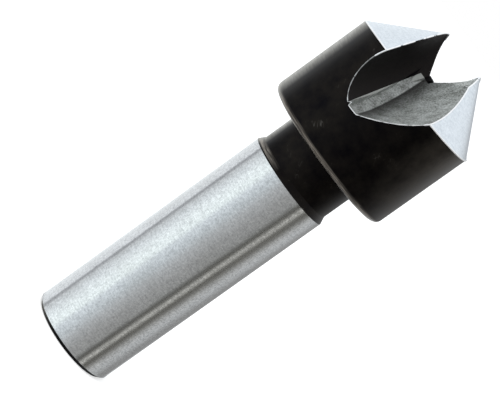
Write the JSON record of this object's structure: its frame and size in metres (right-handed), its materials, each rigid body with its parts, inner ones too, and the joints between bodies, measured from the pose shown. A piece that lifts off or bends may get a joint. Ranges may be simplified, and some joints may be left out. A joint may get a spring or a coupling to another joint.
{
  "type": "countersink",
  "caption": "Countersink cutter with relieved cone teeth, open crossing flutes, a blackened head and neck, and a plain ground shank",
  "frame": {"origin": "centre of the flat end of the shank, which is the middle of the bottom of the bounding box", "axes": "+Z runs along the tool's axis from the shank to the cutting tips, X passes through both tips, and the flute in front opens towards -Y"},
  "size_m": [0.016, 0.016, 0.0461],
  "materials": {
    "tool_steel": "ground bright on the shank and the cone faces, black oxide on the head and the neck"
  },
  "bodies": {
    "root": {"countersink": "tool_steel"}
  },
  "joints": []
}
